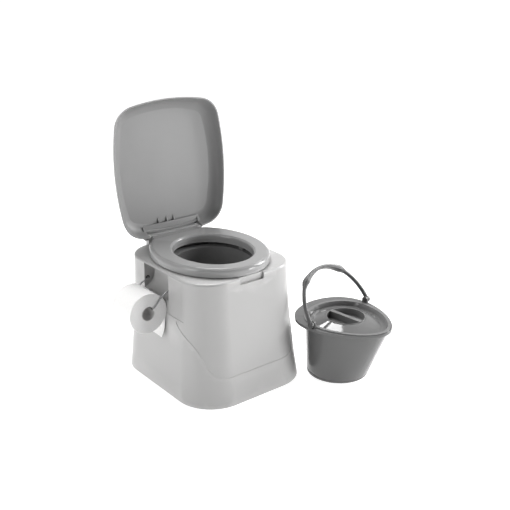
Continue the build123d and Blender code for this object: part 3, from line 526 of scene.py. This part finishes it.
# Toilet roll: wound layers show at its slightly uneven ends
ROLL_STEPS = 160
LAYERS = 46
LAYER_DIP = 0.0005
LAYER_TURN = 2.399  # the golden angle, so that the dips never line up
LAYER_STAGGER = 0.0003
RIM_INSET = 0.0018
RIM = ((0.0004, 0.0010), (0.0011, 0.0003), (0.0024, 0.0))  # in from the end, in from the outside
SIDE_STATIONS = (0.8, 0.6, 0.4, 0.2, 0.0)
SLACK = 0.00035
SLACK_DROP = 0.0006  # keeps the slack paper inside the roll's radius
ON_SIDE = 0.0001  # only the outside of the roll is slack, not its rims and ends


def roll_profile(half, radius, bore):
    """(along, out) points from the bore at one end, over the outside, to the bore at the other."""
    near = []
    for k in range(LAYERS + 1):
        out = bore + (radius - RIM_INSET - bore) * k / LAYERS
        dip = LAYER_DIP * (0.5 + 0.5 * math.sin(k * LAYER_TURN)) + LAYER_STAGGER * (k % 2)
        near.append((half - dip, out))
    near += [(half - along, radius - out) for along, out in RIM]
    near += [(half * share, radius) for share in SIDE_STATIONS]
    return near + [(-along, out) for along, out in reversed(near[:-1])]


def make_roll():
    """The paper roll: its profile turned about the wire, with a little slack on the outside."""
    low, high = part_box("toilet_roll")
    core_low, core_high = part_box("roll_core")
    middle = (low + high) / 2
    radius = (high.z - low.z) / 2
    profile = roll_profile((high.y - low.y) / 2, radius, (core_high.z - core_low.z) / 2)
    rings = []
    for i in range(ROLL_STEPS):
        turn = 2 * math.pi * i / ROLL_STEPS
        ring = []
        for along, out in profile:
            if out > radius - ON_SIDE:
                broad, narrow = math.sin(3 * turn + 1.0), math.sin(7 * turn + 60 * along)
                out += SLACK * (broad + 0.6 * narrow) - SLACK_DROP
            x, z = out * math.cos(turn), out * math.sin(turn)
            ring.append((middle.x + x, middle.y + along, middle.z + z))
        rings.append(ring)
    roll = ring_tube("roll_of_paper", rings, MATERIALS["toilet_roll"], closed=True)
    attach(roll, "roll")
    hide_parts("toilet_roll")


# Loose end of the paper: lies on the roll, leaves it and hangs down to a perforated edge
TAIL_OVER_ROLL = 0.0005
TAIL_START = math.radians(50.0)
TAIL_LEAVES = math.radians(-20.0)
TAIL_DROP = Vector((-0.0154, 0.0, -0.0638))
TAIL_WRAP_STEPS = 40
TAIL_HANG_STEPS = 30
TAIL_ACROSS_STEPS = 48
TAIL_HALF_THICK = 0.00016
TAIL_SIDE_INSET = 0.0004
TAIL_TEETH = 0.0006
TAIL_BOW = 0.0035
TAIL_SWAY = 0.0012
TAIL_BOWS_BY = 0.3  # shares of the hanging length
TAIL_TURNS_BY = 0.35
TAIL_LOOSENS = (40, 60)  # steps along the tail over which its ripple grows
TAIL_RIPPLE = (0.0007, 95, 0.05)  # height, radians per metre across, radians per step along
TAIL_CREASE = (0.00012, 300, 0.3)


def tail_line():
    """Points and normals down the middle of the paper's end, in the roll's cross plane."""
    low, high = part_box("toilet_roll")
    middle = (low + high) / 2
    radius = (high.z - low.z) / 2 + TAIL_OVER_ROLL
    line = []
    for i in range(TAIL_WRAP_STEPS + 1):
        turn = TAIL_START + (TAIL_LEAVES - TAIL_START) * i / TAIL_WRAP_STEPS
        out = Vector((math.cos(turn), 0, math.sin(turn)))
        line.append((middle + out * radius, out))
    leave, leave_out = line[-1]
    flat_out = Vector((-TAIL_DROP.z, 0, TAIL_DROP.x)).normalized()
    for i in range(1, TAIL_HANG_STEPS + 1):
        t = i / TAIL_HANG_STEPS
        bow = TAIL_BOW * math.sin(math.pi * t) - TAIL_SWAY * math.sin(2 * math.pi * t)
        out = leave_out.lerp(flat_out, smooth_step(0.0, TAIL_TURNS_BY, t)).normalized()
        line.append((leave + TAIL_DROP * t + flat_out * bow * smooth_step(0.0, TAIL_BOWS_BY, t), out))
    return line


def sheet_wave(wave, across, step):
    """Height of one of the sheet's waves at a place across it and a step along it."""
    height, per_metre, per_step = wave
    return height * math.sin(across * per_metre + step * per_step)


def make_tail():
    """The paper's loose end as a thin sheet, rippled where it hangs."""
    low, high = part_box("toilet_roll")
    half = (high.y - low.y) / 2 - TAIL_SIDE_INSET
    line = tail_line()
    across = [half * (2 * k / TAIL_ACROSS_STEPS - 1) for k in range(TAIL_ACROSS_STEPS + 1)]
    rings = []
    for i, (point, out) in enumerate(line):
        hang = smooth_step(*TAIL_LOOSENS, i)
        top, bottom = [], []
        for k, y in enumerate(across):
            ripple = hang * sheet_wave(TAIL_RIPPLE, y, i) + sheet_wave(TAIL_CREASE, y, i)
            tooth = TAIL_TEETH * (k % 2) if i == len(line) - 1 else 0.0
            place = point + out * ripple + Vector((0, y, tooth))
            top.append(place + out * TAIL_HALF_THICK)
            bottom.append(place - out * TAIL_HALF_THICK)
        rings.append(top + bottom[::-1])
    tail = ring_tube("paper_end", rings, MATERIALS["paper_tail"])
    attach(tail, "roll_holder")
    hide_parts("paper_tail")


make_bail()
make_roll()
make_tail()
for name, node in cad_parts.items():
    for each in node.material_slots:
        each.material = MATERIALS[name]
